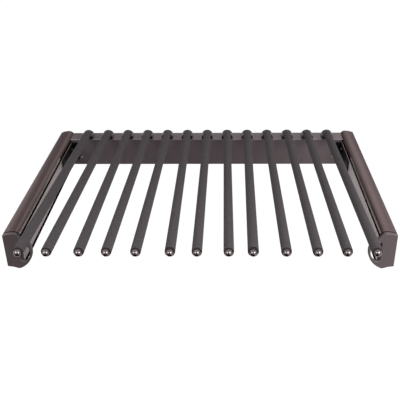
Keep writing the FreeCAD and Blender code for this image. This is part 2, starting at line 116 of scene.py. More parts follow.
# The screw beside a bracket: how far in from its side leg and below its top
RAIL_SCREW = (14 * MM, 30.5 * MM)
LIP_RISE = 5 * MM  # A cover's lip lies more than this above the foot of its leg

FLOOR_DROP = 0.42  # The rack hangs this far above the floor
FLOOR = CAD_BOX[0][2] - FLOOR_DROP
FLOOR_WIDTH = 28.0
FLOOR_GLOW = 1.13  # Strength of the floor's own white, in the share below of what is seen
FLOOR_GLOW_SHARE = 0.9
SKY_LIGHT = 0.05  # Strength of the sky as a light; where it is seen, it is white
ON_FLOOR = FLOOR + 0.01  # Height of the black cards that lie on the floor
# Black cards: name, middle, width and height or depth, and whether it stands
FLAGS = (
    ("floor_flag", (-0.5, -0.95, ON_FLOOR), (1.8, 1.8), False),
    ("front_flag", (0, -1.35, 0.1), (2.6, 0.36), True),
    ("rear_flag", (0, 1.6, 0.27), (2.0, 0.4), True),
    ("high_flag", (-1.7, 4.0, 2.6), (1.8, 1.6), True),
    ("side_flag", (1.6, 4.0, 1.4), (1.5, 1.4), True),
    ("under_flag", (0, 0.46, ON_FLOOR), (0.8, 0.36), False),
)
# Lamps: name, place, what it points at, size in metres and power in watts
LAMPS = (
    ("left_softbox", (-0.66, -0.74, 0.56), (-0.05, -0.1, 0), 0.6, 5.8),
    ("right_softbox", (0.6, -0.74, 0.56), (0.1, -0.05, 0), 0.75, 12.2),
    ("rear_softbox", (0.82, 1.9, 0.8), (0.1, 0.3, 0), 0.6, 1.8),
)
# The camera, solved from the photograph's straight lines
CAMERA_PLACE = (0.04021, -0.78439, 0.50855)
CAMERA_TURN = [math.radians(angle) for angle in (61.295, 0.338, 0.551)]
CAMERA_SENSOR = 36.0
CAMERA_LENS = 57.91
CAMERA_SHIFT = -0.0511
CAMERA_REACH = 60.0


def linear(hex_colour):
    """An sRGB hex colour as linear red, green and blue."""
    channels = [int(hex_colour[place:place + 2], 16) / 255 for place in (1, 3, 5)]
    return tuple(c / 12.92 if c <= 0.04045 else ((c + 0.055) / 1.055) ** 2.4 for c in channels)


def length_setting(name, description, millimetres):
    """A length that a user may change."""
    return bpy.props.FloatProperty(name=name, description=description, default=millimetres * MM,
                                   subtype="DISTANCE", unit="LENGTH", min=0.0, precision=5)


def colour_setting(name, description, default):
    """A colour that a user may change."""
    return bpy.props.FloatVectorProperty(name=name, description=description, subtype="COLOR",
                                         default=linear(default), size=3, min=0.0, max=1.0)


class RackSizes(bpy.types.PropertyGroup):
    """Sizes of the finished pieces that the frame leaves plain."""
    sleeve_easing: length_setting("Sleeve easing", "Rounding of the sleeve's cut ends", 0.45)
    collar_length: length_setting(
        "Collar length", "Straight part of a cap, between the sleeve and the dome", 2.0)
    collar_inset: length_setting(
        "Collar inset", "How much smaller than the sleeve the collar is, all round", 0.35)
    collar_easing: length_setting("Collar easing", "Rounding of the collar's edges", 0.35)
    dome_diameter: length_setting("Dome diameter", "Diameter of a cap's polished dome", 10.2)
    dome_lift: length_setting(
        "Dome lift", "How far the dome's ball stands out of the collar", 0.8)
    seat_rounding: length_setting("Seat rounding", "Rounding of a seat's rear rim", 2.4)
    seat_easing: length_setting("Seat easing", "Rounding of a seat's front rim", 0.7)
    seat_margin: length_setting(
        "Seat margin", "How far a seat's arch spreads on each side", 0.8)
    fold_radius: length_setting(
        "Fold radius", "Outer radius of the folds of the back rail", 1.4)
    sheet_easing: length_setting("Sheet easing", "Rounding of cut sheet edges", 0.35)
    extrusion_easing: length_setting(
        "Extrusion easing", "Rounding of the corners of extruded and cast pieces", 0.3)
    hole_growth: length_setting("Hole growth", "How much wider a finger hole is opened up", 0.4)
    hole_draft: length_setting(
        "Hole draft", "How much wider a finger hole is at the rear of its plate", 1.2)
    hole_drop: length_setting("Hole drop", "How much lower a finger hole sits", 3.4)
    cover_gap: length_setting("Cover gap", "Seam between a cover and its end plate", 2.4)
    # Painted shade: the black slice before a cover's front end stands for the shadow in the seam
    seam_shade_drop: length_setting(
        "Gasket drop", "How far the gasket before a cover's front end lies below the cover", 0.8)
    lip_radius: length_setting(
        "Lip radius", "Rounding of a cover's lip beside the side rail", 0.75)
    lip_setback: length_setting(
        "Lip setback", "How far a cover's lip is drawn back to widen the groove", 0.6)
    # Painted highlight: the pale band along the lip stands for the light on its edge
    lip_highlight_width: length_setting(
        "Lip width", "Width of the brushed edge along a cover's lip", 1.1)
    # Painted highlight: the pale band along the rail's top stands for the light on its edge
    edge_width: length_setting(
        "Edge width", "Width of the brushed edge along a side rail's top", 1.7)
    # Painted shade: the strip's black lip widens the dark line along the side rail's foot
    strip_lip_height: length_setting(
        "Strip lip height", "How far the edge strip laps up the side rail", 1.6)
    strip_lip_thickness: length_setting(
        "Strip lip thickness", "How far the edge strip stands out of the rail", 0.3)
    screw_diameter: length_setting(
        "Screw head diameter", "Diameter of the pan-head screws", 4.6)
    screw_height: length_setting("Screw head height", "How far a screw head stands proud", 1.6)
    recess_width: length_setting(
        "Recess width", "Width of the arms of a screw's cross recess", 0.9)


class RackColours(bpy.types.PropertyGroup):
    """Colours of the rack's materials."""
    anodised: colour_setting("Anodised bronze", "Covers", "#6d5b5c")
    cover_edge: colour_setting(
        "Cover at low angles", "Tint of what the covers reflect at low angles", "#d0cccc")
    rail: colour_setting("Rail bronze", "Side rails", "#9f8f8e")
    rail_edge: colour_setting(
        "Rail at low angles", "Tint of what the side rails reflect at low angles", "#ffffff")
    # Painted highlight: this pale colour stands for the light along the covers' lips and the rails'
    # top edges; on the rails' front ends it is their bare cut
    cut_edge_and_highlight: colour_setting(
        "Cut edge", "Brushed edges of the covers and side rails", "#d3c8c5")
    lacquer: colour_setting("Plate lacquer", "End plates", "#655a5b")
    back_lacquer: colour_setting("Back rail lacquer", "Back rail", "#7e7174")
    sleeve: colour_setting("Sleeve", "Soft charcoal sleeves of the bars", "#575153")
    chrome: colour_setting("Dark chrome", "Domed caps", "#6e6566")
    collar: colour_setting("Collar", "Collars between the sleeves and the domes", "#2e2728")
    gloss_black: colour_setting("Gloss black", "Seats at the rear of the bars", "#0c0c0f")
    seat_sheen: colour_setting("Seat sheen", "Tint of what the seats reflect", "#f3f9ff")
    # Painted shade: this black on the edge strips, groove seals and cover seams stands for the
    # shadowed gaps along the side rails
    shade_line_black: colour_setting("Trim black", "Seals and strips along the side rails", "#0a0506")
    # Painted shade: the brackets' near-black stands for the deep shadow in the rear corners
    black_steel: colour_setting("Black steel", "Corner brackets", "#121011")
    zinc: colour_setting("Zinc", "Runner members", "#b9b8b6")
    steel: colour_setting("Drawn steel", "Cores of the bars, and screws", "#8d8985")
    acetal: colour_setting("Acetal", "Glides of the runners", "#d9d8d0")
    buffer: colour_setting("Buffer rubber", "Stops at the rear of the runners", "#1d1c1c")


def add_node(tree, kind, inputs=None, **settings):
    """Adds a node with its settings; an input is a value or another node's output socket."""
    node = tree.nodes.new(kind)
    for setting, value in settings.items():
        setattr(node, setting, value)
    for socket, value in (inputs or {}).items():
        if isinstance(value, bpy.types.NodeSocket):
            tree.links.new(value, node.inputs[socket])
        else:
            node.inputs[socket].default_value = value
    return node


def shade(colour, factor=1.0):
    """A colour made lighter or darker, with alpha for a node's socket."""
    return (*(min(channel * factor, 1.0) for channel in colour), 1.0)


def surface(name, colour, grain, shades, roughness=None, relief=None, stretch=(1, 1, 1),
            detail=2.0, **sockets):
    """A material whose grain, of a size in metres, varies its colour, roughness and relief.

    The shades are factors on the colour, from the dark of the grain to the light of it.
    The roughness is such a range too. The relief is the grain's height in metres and its
    strength. The stretch draws the grain out along X, Y and Z. Sockets hold the shader's
    plain values.
    """
    material = bpy.data.materials.new(name)
    material.use_nodes = True
    tree = material.node_tree
    tree.nodes.clear()
    place = add_node(tree, "ShaderNodeTexCoord")
    scale = add_node(tree, "ShaderNodeMapping", {
        "Vector": place.outputs["Object"], "Scale": tuple(1 / part for part in stretch)})
    noise = add_node(tree, "ShaderNodeTexNoise", {
        "Vector": scale.outputs["Vector"], "Scale": 1 / grain, "Detail": detail})
    # Nearly all of the noise lies between these two values
    spread = {"Value": noise.outputs["Fac"], "From Min": 0.3, "From Max": 0.7}
    ramp = add_node(tree, "ShaderNodeMapRange", spread)
    dark, light = (shade(colour, factor) for factor in shades)
    tint = add_node(tree, "ShaderNodeMix", {
        "Factor": ramp.outputs["Result"], "A": dark, "B": light}, data_type="RGBA")
    inputs = {socket.replace("_", " "): value for socket, value in sockets.items()}
    inputs["Base Color"] = tint.outputs["Result"]
    if roughness:
        polish = add_node(tree, "ShaderNodeMapRange", {
            **spread, "To Min": roughness[0], "To Max": roughness[1]})
        inputs["Roughness"] = polish.outputs["Result"]
    if relief:
        bump = add_node(tree, "ShaderNodeBump", {
            "Height": noise.outputs["Fac"], "Distance": relief[0], "Strength": relief[1]})
        inputs["Normal"] = bump.outputs["Normal"]
    shader = add_node(tree, "ShaderNodeBsdfPrincipled", inputs)
    add_node(tree, "ShaderNodeOutputMaterial", {"Surface": shader.outputs["BSDF"]})
    return material


def anodised(name, colour, edge, metallic, roughness):
    """Extruded aluminium, bronze anodised: satin, with faint die lines along the piece."""
    # Die lines are about 0.2 mm apart; drawn at 1.2 mm so that they show in the render
    return surface(name, colour, grain=1.2 * MM, shades=(0.93, 1.06), roughness=roughness,
                   relief=(0.02 * MM, 0.5), stretch=(1, 90, 1), Metallic=metallic,
                   Specular_Tint=shade(edge))


def cover_bronze(colours):
    """The covers' anodising: reddish and smooth enough to show the slope of the arch."""
    return anodised("satin_bronze_aluminium", colours.anodised, colours.cover_edge,
                    metallic=0.7, roughness=(0.3, 0.38))


def rail_bronze(colours):
    """The side rails' anodising: duller and paler than the covers'."""
    return anodised("dull_bronze_aluminium", colours.rail, colours.rail_edge,
                    metallic=0.6, roughness=(0.4, 0.48))


def cut_edge_and_highlight(colours):
    """Pale aluminium where the bronze is thin, with lines along it: painted highlight on the covers'
    lips and the side rails' top edges, and the bare cut at the rails' front ends.
    """
    # Brush lines are about 0.1 mm apart; drawn at 0.6 mm so that they show in the render
    return surface("bare_edge_and_painted_highlight", colours.cut_edge_and_highlight, grain=0.6 * MM,
                   shades=(0.92, 1.05), roughness=(0.34, 0.46), stretch=(1, 40, 1),
                   Metallic=0.6)


def lacquered(name, colour, metallic):
    """Metallic bronze lacquer: satin, with a fine flake grain."""
    # Flakes are about 0.1 mm; drawn at 0.9 mm so that they show in the render
    return surface(name, colour, grain=0.9 * MM, shades=(0.94, 1.06), roughness=(0.38, 0.47),
                   relief=(0.015 * MM, 0.4), detail=4.0, Metallic=metallic)


def plate_lacquer(colours):
    """The end plates' lacquer on die-cast zinc: even and rather matt."""
    return lacquered("bronze_lacquered_zinc", colours.lacquer, metallic=0.35)


def back_lacquer(colours):
    """The back rail's lacquer on sheet steel: with more flake, so that its flange shines."""
    return lacquered("bronze_lacquered_steel", colours.back_lacquer, metallic=0.6)


def soft_sleeve(colours):
    """Extruded thermoplastic rubber with a matt, finely grained grip surface."""
    # The grain is about 0.5 mm; drawn at 1.8 mm so that it shows in the render
    return surface("grained_soft_rubber", colours.sleeve, grain=1.8 * MM, shades=(0.72, 1.25),
                   roughness=(0.72, 0.9), relief=(0.12 * MM, 0.6), stretch=(1, 1.5, 1),
                   detail=3.0, Specular_IOR_Level=0.3)


def dark_chrome(colours):
    """Black chrome plating on a polished cap: a dark mirror, with a breath of haze."""
    return surface("polished_black_chrome", colours.chrome, grain=3.0 * MM,
                   shades=(0.96, 1.03), roughness=(0.06, 0.1), Metallic=1.0)


def gloss_black(colours):
    """Moulded black ABS: a soft, bluish gloss with a faint orange-peel ripple."""
    return surface("gloss_black_abs", colours.gloss_black, grain=1.5 * MM, shades=(0.9, 1.1),
                   roughness=(0.3, 0.4), relief=(0.02 * MM, 0.4), Specular_IOR_Level=0.6,
                   Specular_Tint=shade(colours.seat_sheen))


def collar_plastic(colours):
    """Moulded charcoal nylon of the caps' collars: matt, with a fine grain."""
    # The grain is about 0.2 mm; drawn at 0.8 mm so that it shows in the render
    return surface("matt_charcoal_nylon", colours.collar, grain=0.8 * MM, shades=(0.85, 1.15),
                   roughness=(0.62, 0.78), Specular_IOR_Level=0.2)


def shade_line_black(colours):
    """Dead matt black, with lines along it: painted shade for the shadowed seams and gaps along the
    side rails, on the edge strips, groove seals and cover seams.
    """
    # Die lines are about 0.3 mm apart; drawn at 1 mm so that they show in the render
    return surface("matt_black_shade_lines", colours.shade_line_black, grain=1.0 * MM, shades=(0.8, 1.2),
                   relief=(0.05 * MM, 0.5), stretch=(1, 60, 1), Roughness=0.9,
                   Specular_IOR_Level=0.0)


def black_steel(colours):
    """Near-black satin on the folded steel corner brackets, with a soft orange peel: painted shade
    for the dark rear corners.
    """
    return surface("corner_shade_black_steel", colours.black_steel, grain=1.2 * MM,
                   shades=(0.9, 1.1), roughness=(0.55, 0.68), relief=(0.03 * MM, 0.5),
                   Specular_IOR_Level=0.08)


def bright_zinc(colours):
    """Bright zinc plating on rolled steel: a soft mirror with clouds along the sheet."""
    return surface("bright_zinc_plated_steel", colours.zinc, grain=4.0 * MM,
                   shades=(0.9, 1.04), roughness=(0.24, 0.38), stretch=(1, 6, 1), detail=4.0,
                   Metallic=1.0)


def drawn_steel(colours):
    """Drawn steel, dull and oiled: grey, with lines along the bar."""
    # Drawing lines are about 0.1 mm apart; drawn at 0.8 mm so that they show in the render
    return surface("drawn_steel", colours.steel, grain=0.8 * MM, shades=(0.88, 1.08),
                   roughness=(0.36, 0.5), stretch=(1, 20, 1), Metallic=1.0)


def white_acetal(colours):
    """Moulded acetal: waxy off-white with a soft sheen."""
    return surface("moulded_white_acetal", colours.acetal, grain=1.8 * MM,
                   shades=(0.96, 1.02), roughness=(0.33, 0.43), IOR=1.48)


def buffer_rubber(colours):
    """Moulded black rubber: matt, slightly dusty."""
    # Dust is much finer; drawn at 0.8 mm so that it shows in the render
    return surface("moulded_black_rubber", colours.buffer, grain=0.8 * MM, shades=(0.85, 1.2),
                   relief=(0.05 * MM, 0.4), detail=4.0, Roughness=0.85, Specular_IOR_Level=0.3)


# Finishes by material slot, and four that differ from their piece's slot
FINISHES = {
    "bronze_aluminium": cover_bronze, "bronze_paint": plate_lacquer, "soft_sleeve": soft_sleeve,
    "dark_chrome": dark_chrome, "black_gloss": gloss_black, "black_trim": shade_line_black,
    "black_steel": black_steel, "zinc_steel": bright_zinc, "acetal": white_acetal,
    "buffer_rubber": buffer_rubber, "core_steel": drawn_steel,
    "back_lacquer": back_lacquer, "collar_plastic": collar_plastic, "rail_bronze": rail_bronze,
    "cut_edge_and_highlight": cut_edge_and_highlight,
}


def finish_of(name):
    """One of the finishes as a material, made when it is first asked for."""
    key = f"finish_{name}"
    held = bpy.context.scene.get(key)
    if held is None:
        held = FINISHES[name](bpy.context.scene.rack_colours).name
        bpy.context.scene[key] = held
    return bpy.data.materials[held]


def slot_of(node):
    """The material slot that the record gives a CAD node."""
    return next(part["material_slot"] for part in frame["record"]["subparts"]
                if part["node"] == node)


def body_of(node):
    """The body that a CAD node moves with."""
    return frame["nodes"][node]["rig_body"]


def add_piece(mesh, name, *nodes, slot=None, body=None, finish=None):
    """Turns a bmesh into a finished piece that stands for CAD nodes, or rides with a body."""
    for face in mesh.faces:
        face.smooth = True
    for edge in mesh.edges:
        edge.smooth = len(edge.link_faces) == 2 and edge.calc_face_angle() < SHARP
    data = bpy.data.meshes.new(name)
    mesh.to_mesh(data)
    mesh.free()
    piece = bpy.data.objects.new(name, data)
    bpy.context.scene.collection.objects.link(piece)
    # Keeps large flat faces flat to the eye beside rounded edges
    piece.modifiers.new("flat_faces", "WEIGHTED_NORMAL").keep_sharp = True
    slot = slot or slot_of(nodes[0])
    data.materials.append(finish_of(finish or slot))
    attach(piece, body or body_of(nodes[0]))
    if nodes:
        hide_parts(*nodes)
    return piece


def node_mesh(node):
    """A CAD node's mesh as one clean bmesh: doubles merged and flat faces joined."""
    mesh = bmesh.new()
    mesh.from_mesh(frame["nodes"][node].data)
    bmesh.ops.remove_doubles(mesh, verts=mesh.verts, dist=WELD)
    bmesh.ops.dissolve_limit(mesh, angle_limit=FLAT, verts=mesh.verts, edges=mesh.edges)
    return mesh


def is_near(value, plane, gap=TOUCH):
    """Whether a coordinate is within a gap of a plane; if none is given, on the plane."""
    return abs(value - plane) < gap


def round_edges(mesh, edges, width, segments=2):
    """Rounds edges of a mesh."""
    bmesh.ops.bevel(mesh, geom=edges, offset=width, offset_type="OFFSET", affect="EDGES",
                    segments=segments, profile=0.5, material=-1, clamp_overlap=True)


def corners_of(mesh, angle=CORNER):
    """The edges of a mesh that turn by more than an angle."""
    return [edge for edge in mesh.edges
            if len(edge.link_faces) == 2 and edge.calc_face_angle() > angle]


def edges_among(edges, verts):
    """Those edges that have both ends among some vertices."""
    return [edge for edge in edges if all(vert in verts for vert in edge.verts)]


def cut(mesh, point, normal, clear_outer=False):
    """Cuts a mesh along a plane, and drops what lies beyond it where asked to."""
    everything = mesh.verts[:] + mesh.edges[:] + mesh.faces[:]
    bmesh.ops.bisect_plane(mesh, geom=everything, plane_co=point, plane_no=normal,
                           clear_outer=clear_outer)


def verts_in(geom):
    """The vertices among what an operator has made."""
    return [item for item in geom if isinstance(item, bmesh.types.BMVert)]


def ease_node(node, width):
    """Replaces a CAD node by a copy with rounded edges."""
    mesh = node_mesh(node)
    round_edges(mesh, corners_of(mesh), width)
    add_piece(mesh, f"{node}_eased", node)


def bar_ends(sleeve):
    """The middles of a sleeve's front and rear ends, and the sleeve's radius."""
    mesh = node_mesh(sleeve)
    middle = sum(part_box(sleeve), Vector()) / 2
    front, rear = (sum((vert.co for vert in ring), Vector()) / len(ring) for ring in
                   ([vert for vert in mesh.verts if vert.co.y < middle.y],
                    [vert for vert in mesh.verts if vert.co.y > middle.y]))
    along = (front - rear).normalized()
    radius = max((vert.co - rear).cross(along).length for vert in mesh.verts)
    mesh.free()
    return front, rear, radius


def join(group, mesh):
    """Adds a finished shape to its group."""
    data = bpy.data.meshes.new("joined")
    mesh.to_mesh(data)
    mesh.free()
    group.from_mesh(data)
    bpy.data.meshes.remove(data)


def add_dome(mesh, radius, height):
    """The cap of a ball, with its rim at z 0 and its crown at the given height."""
    ball = (radius * radius + height * height) / (2 * height)
    bmesh.ops.create_uvsphere(mesh, u_segments=DOME_STEPS[0], v_segments=DOME_STEPS[1],
                              radius=ball, matrix=Matrix.Translation((0, 0, height - ball)))
    cut(mesh, (0, 0, 0), (0, 0, -1), clear_outer=True)


def extrude_rim(mesh, offset):
    """Draws the open rim of a mesh on by an offset along Z."""
    rim = [edge for edge in mesh.edges if edge.is_boundary]
    drawn = bmesh.ops.extrude_edge_only(mesh, edges=rim)["geom"]
    bmesh.ops.translate(mesh, verts=verts_in(drawn), vec=(0, 0, offset))


def close_rim(mesh):
    """Fills the open rims of a mesh."""
    bmesh.ops.holes_fill(mesh, edges=[edge for edge in mesh.edges if edge.is_boundary])
    bmesh.ops.recalc_face_normals(mesh, faces=mesh.faces)


def add_screw(group, sizes, point, outward):
    """A pan-head screw with a cross recess, at a point of a face and along the face's normal."""
    mesh = bmesh.new()
    radius, arm = sizes.screw_diameter / 2, sizes.recess_width / 2
    crown, reach = sizes.screw_height * CROWN_SHARE, radius * CROSS_SHARE
    add_dome(mesh, radius, crown)
    extrude_rim(mesh, crown - sizes.screw_height)
    close_rim(mesh)
    for axis in (Vector((1, 0, 0)), Vector((0, 1, 0))):
        for distance in (-reach, -arm, arm, reach):
            cut(mesh, axis * distance, axis)

    def in_cross(face):
        middle = face.calc_center_median()
        near, far = sorted((abs(middle.x), abs(middle.y)))
        return middle.z > 0 and near < arm and far < reach

    cross = [face for face in mesh.faces if in_cross(face)]
    sunk = verts_in(bmesh.ops.extrude_face_region(mesh, geom=cross)["geom"])
    bmesh.ops.translate(mesh, verts=sunk, vec=(0, 0, -crown))
    lids = [face for face in mesh.faces if in_cross(face) and face.normal.z > UPWARD
            and not any(vert in sunk for vert in face.verts)]
    bmesh.ops.delete(mesh, geom=lids, context="FACES")
    turn = Vector(outward).to_track_quat("Z", "Y").to_matrix().to_4x4()
    rest = Matrix.Translation((0, 0, sizes.screw_height - crown))
    mesh.transform(Matrix.Translation(point) @ turn @ rest)
    join(group, mesh)


class RACK_OT_stage(bpy.types.Operator):
    """Set up the white studio: floor, black cards, sky, lamps and the camera"""
    bl_idname = "rack.stage"
    bl_label = "Studio"

    def execute(self, context):
        scene = context.scene
        scene.view_settings.view_transform = "Standard"
        self.add_floor(scene)
        self.add_flags(scene)
        self.add_sky(scene)
        self.add_lamps(scene)
        self.add_camera(scene)
        return {"FINISHED"}

    def seen_directly(self, tree):
        """1 for rays that show the surround itself: to the camera, in gloss and through glass."""
        path = add_node(tree, "ShaderNodeLightPath")
        seen = path.outputs["Is Camera Ray"]
        for kind in ("Is Glossy Ray", "Is Transmission Ray"):
            seen = add_node(tree, "ShaderNodeMath", {0: seen, 1: path.outputs[kind]},
                            operation="MAXIMUM").outputs[0]
        return seen

    def add_floor(self, scene):
        """A white floor that keeps the object's shadow, faintly."""
        _, tree = self.add_card(scene, "white_studio_floor", (0, 0, FLOOR),
                                (FLOOR_WIDTH, FLOOR_WIDTH), False)
        matt = add_node(tree, "ShaderNodeBsdfDiffuse", {"Color": shade(linear("#efefef"))})
        glow = add_node(tree, "ShaderNodeEmission", {
            "Color": shade(linear("#ffffff")), "Strength": FLOOR_GLOW})
        share = add_node(tree, "ShaderNodeMath", {
            0: self.seen_directly(tree), 1: FLOOR_GLOW_SHARE}, operation="MULTIPLY")
        blend = add_node(tree, "ShaderNodeMixShader", {
            0: share.outputs[0], 1: matt.outputs["BSDF"], 2: glow.outputs["Emission"]})
        add_node(tree, "ShaderNodeOutputMaterial", {"Surface": blend.outputs["Shader"]})

    def add_flags(self, scene):
        """Black cards, hidden from the camera, that give caps and covers dark reflections."""
        for flag in FLAGS:
            card, tree = self.add_card(scene, *flag)
            card.visible_camera = False
            cloth = add_node(tree, "ShaderNodeBsdfDiffuse", {"Color": shade(linear("#272727"))})
            add_node(tree, "ShaderNodeOutputMaterial", {"Surface": cloth.outputs["BSDF"]})

    def add_card(self, scene, name, middle, size, standing):
        """A flat card of the studio, and the empty node tree of its material."""
        turn = Matrix.Rotation(math.radians(90 if standing else 0), 4, "X")
        place = Matrix.Translation(middle) @ turn @ Matrix.Diagonal((*size, 1, 1))
        mesh = bmesh.new()
        # The size is half of a side, so this is a card of 1 m that its place scales
        bmesh.ops.create_grid(mesh, x_segments=1, y_segments=1, size=0.5, matrix=place)
        data = bpy.data.meshes.new(name)
        mesh.to_mesh(data)
        mesh.free()
        card = bpy.data.objects.new(name, data)
        scene.collection.objects.link(card)
        material = bpy.data.materials.new(name)
        material.use_nodes = True
        material.node_tree.nodes.clear()
        data.materials.append(material)
        return card, material.node_tree

    def add_sky(self, scene):
        """A white sky that gives only a little light of its own."""
        world = bpy.data.worlds.new("white_studio_sky")
        scene.world = world
        world.use_nodes = True
        tree = world.node_tree
        tree.nodes.clear()
        strength = add_node(tree, "ShaderNodeMapRange", {
            "Value": self.seen_directly(tree), "To Min": SKY_LIGHT, "To Max": 1.0})
        sky = add_node(tree, "ShaderNodeBackground", {
            "Color": shade(linear("#ffffff")), "Strength": strength.outputs["Result"]})
        add_node(tree, "ShaderNodeOutputWorld", {"Surface": sky.outputs["Background"]})

    def add_lamps(self, scene):
        """Square softboxes, two in front of the rack and a weak one behind it."""
        for name, place, aim, size, power in LAMPS:
            data = bpy.data.lights.new(name, "AREA")
            data.shape = "SQUARE"
            data.size = size
            data.energy = power
            lamp = bpy.data.objects.new(name, data)
            lamp.location = place
            towards = Vector(aim) - Vector(place)
            lamp.rotation_euler = towards.to_track_quat("-Z", "Y").to_euler()
            scene.collection.objects.link(lamp)

    def add_camera(self, scene):
        """A camera at the photograph's viewing angle."""
        data = bpy.data.cameras.new("photo_camera")
        data.sensor_width = CAMERA_SENSOR
        data.lens = CAMERA_LENS
        data.shift_x = CAMERA_SHIFT
        data.clip_end = CAMERA_REACH
        camera = bpy.data.objects.new("photo_camera", data)
        camera.location = CAMERA_PLACE
        camera.rotation_euler = Euler(CAMERA_TURN)
        scene.collection.objects.link(camera)
        scene.camera = camera


class RACK_OT_bars(bpy.types.Operator):
    """Finish the bars: soft sleeves, domed caps and the black seats at their rear"""
    bl_idname = "rack.bars"
    bl_label = "Bars"

    def execute(self, context):
        sizes = context.scene.rack_sizes
        domes, collars = bmesh.new(), bmesh.new()
        for number, node in enumerate(BARS, start=1):
            front, rear, radius = bar_ends(node)
            turn = (rear - front).to_track_quat("Y", "Z").to_matrix().to_4x4()
            place = Matrix.Translation(front) @ turn
            self.add_sleeve(sizes, node, number, place, radius, (rear - front).length)
            self.add_cap(sizes, domes, collars, place, radius)
        add_piece(domes, "domed_caps", "bar_end_caps")
        add_piece(collars, "cap_collars", slot="black_gloss", body=body_of("bar_end_caps"),
                  finish="collar_plastic")
        self.add_seats(sizes)
        return {"FINISHED"}

    def add_sleeve(self, sizes, node, number, place, radius, length):
        """A soft tube with eased ends, turned about the bar."""
        mesh = bmesh.new()
        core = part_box(node.replace("sleeve", "core"))
        bore = (core[1].x - core[0].x) / 2 + CLEARANCE
        profile = [mesh.verts.new((away, along, 0)) for away, along in
                   ((bore, length), (radius, length), (radius, 0), (bore, 0))]
        edges = [mesh.edges.new((profile[index - 1], profile[index])) for index in range(4)]
        bmesh.ops.spin(mesh, geom=profile + edges, axis=(0, 1, 0), cent=(0, 0, 0),
                       angle=math.tau, steps=SLEEVE_STEPS, use_merge=True)
        bmesh.ops.remove_doubles(mesh, verts=mesh.verts, dist=WELD)
        bmesh.ops.recalc_face_normals(mesh, faces=mesh.faces)
        outside = [vert for vert in mesh.verts
                   if math.hypot(vert.co.x, vert.co.z) > radius - TOUCH]
        round_edges(mesh, edges_among(corners_of(mesh, SQUARE), outside), sizes.sleeve_easing,
                    segments=3)
        mesh.transform(place)
        add_piece(mesh, f"soft_sleeve_{number:02d}", node)

    def add_cap(self, sizes, domes, collars, place, sleeve_radius):
        """A polished dome that stands out of a short dark collar."""
        forward = place @ Matrix.Rotation(math.radians(90), 4, "X")
        dome = bmesh.new()
        add_dome(dome, sizes.dome_diameter / 2, sizes.dome_diameter / 2)
        extrude_rim(dome, -sizes.dome_lift)
        close_rim(dome)
        lift = sizes.collar_length + sizes.dome_lift
        dome.transform(forward @ Matrix.Translation((0, 0, lift)))
        join(domes, dome)
        collar = bmesh.new()
        radius = sleeve_radius - sizes.collar_inset
        bmesh.ops.create_cone(collar, cap_ends=True, segments=COLLAR_STEPS, radius1=radius,
                              radius2=radius, depth=sizes.collar_length)
        round_edges(collar, corners_of(collar, SQUARE), sizes.collar_easing, segments=3)
        collar.transform(forward @ Matrix.Translation((0, 0, sizes.collar_length / 2)))
        join(collars, collar)

    def add_seats(self, sizes):
        """The arched seats, with a well rounded rear rim and an eased front rim."""
        mesh = node_mesh("bar_seats")
        low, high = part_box("bar_seats")
        middles = [bar_ends(node)[1].x for node in BARS]
        radius = middles[0] - low.x
        arch = high.z - radius
        widen = 1 + sizes.seat_margin / radius
        for middle in middles:
            seat = [vert for vert in mesh.verts
                    if is_near(vert.co.x, middle, radius + CLEARANCE)]
            bmesh.ops.scale(mesh, verts=seat, vec=(widen, 1, 1),
                            space=Matrix.Translation((-middle, 0, 0)))
        radius += sizes.seat_margin

        def on_rim(vert, y):
            x = min((vert.co.x - middle for middle in middles), key=abs)
            on_arch = is_near(math.hypot(x, vert.co.z - arch), radius, ON_ARCH)
            return is_near(vert.co.y, y) and (on_arch or is_near(abs(x), radius, ON_ARCH))

        def rim(y):
            return [edge for edge in corners_of(mesh, SQUARE)
                    if all(on_rim(vert, y) for vert in edge.verts)]

        round_edges(mesh, rim(high.y), sizes.seat_rounding, segments=5)
        round_edges(mesh, rim(low.y), sizes.seat_easing, segments=3)
        add_piece(mesh, "arched_seats", "bar_seats")


class RACK_OT_back_rail(bpy.types.Operator):
    """Finish the folded back rail, its corner brackets and their screws"""
    bl_idname = "rack.back_rail"
    bl_label = "Back rail"

    def execute(self, context):
        sizes = context.scene.rack_sizes
        mesh = node_mesh("back_rail")
        low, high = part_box("back_rail")
        folds = [edge for edge in mesh.edges if self.is_fold(edge, low, high)]
        round_edges(mesh, folds, sizes.fold_radius, segments=4)
        add_piece(mesh, "folded_back_rail", "back_rail", finish="back_lacquer")
        screws = bmesh.new()
        for side, outward in OUTWARD.items():
            ease_node(f"{side}_corner_bracket", sizes.sheet_easing)
            self.add_bracket_screws(screws, sizes, side, outward)
        for node in BARS:
            place = (bar_ends(node)[1].x, high.y - FLANGE_SCREW_BACK, high.z - FLANGE_SHEET)
            add_screw(screws, sizes, place, (0, 0, -1))
        add_piece(screws, "pan_head_screws", slot="core_steel", body=body_of("back_rail"))
        return {"FINISHED"}

    def is_fold(self, edge, low, high):
        """Whether an edge is one of the long outer folds of the channel."""
        start, end = (vert.co for vert in edge.verts)
        at_top = is_near(start.z, high.z)
        at_foot = is_near(start.z, low.z) and is_near(start.y, low.y)
        return abs(start.x - end.x) > LONG_FOLD and (at_top or at_foot)

    def add_bracket_screws(self, screws, sizes, side, outward):
        """Screws in the side leg of a corner bracket, and one in the back rail beside it."""
        low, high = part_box(f"{side}_corner_bracket")
        leg_face = max(low.x, high.x, key=abs) - outward * BRACKET_SHEET
        for back, drop in BRACKET_SCREWS:
            place = (leg_face, high.y - back, high.z - drop)
            add_screw(screws, sizes, place, (-outward, 0, 0))
        inset, drop = RAIL_SCREW
        place = (leg_face - outward * inset, high.y, high.z - drop)
        add_screw(screws, sizes, place, (0, -1, 0))


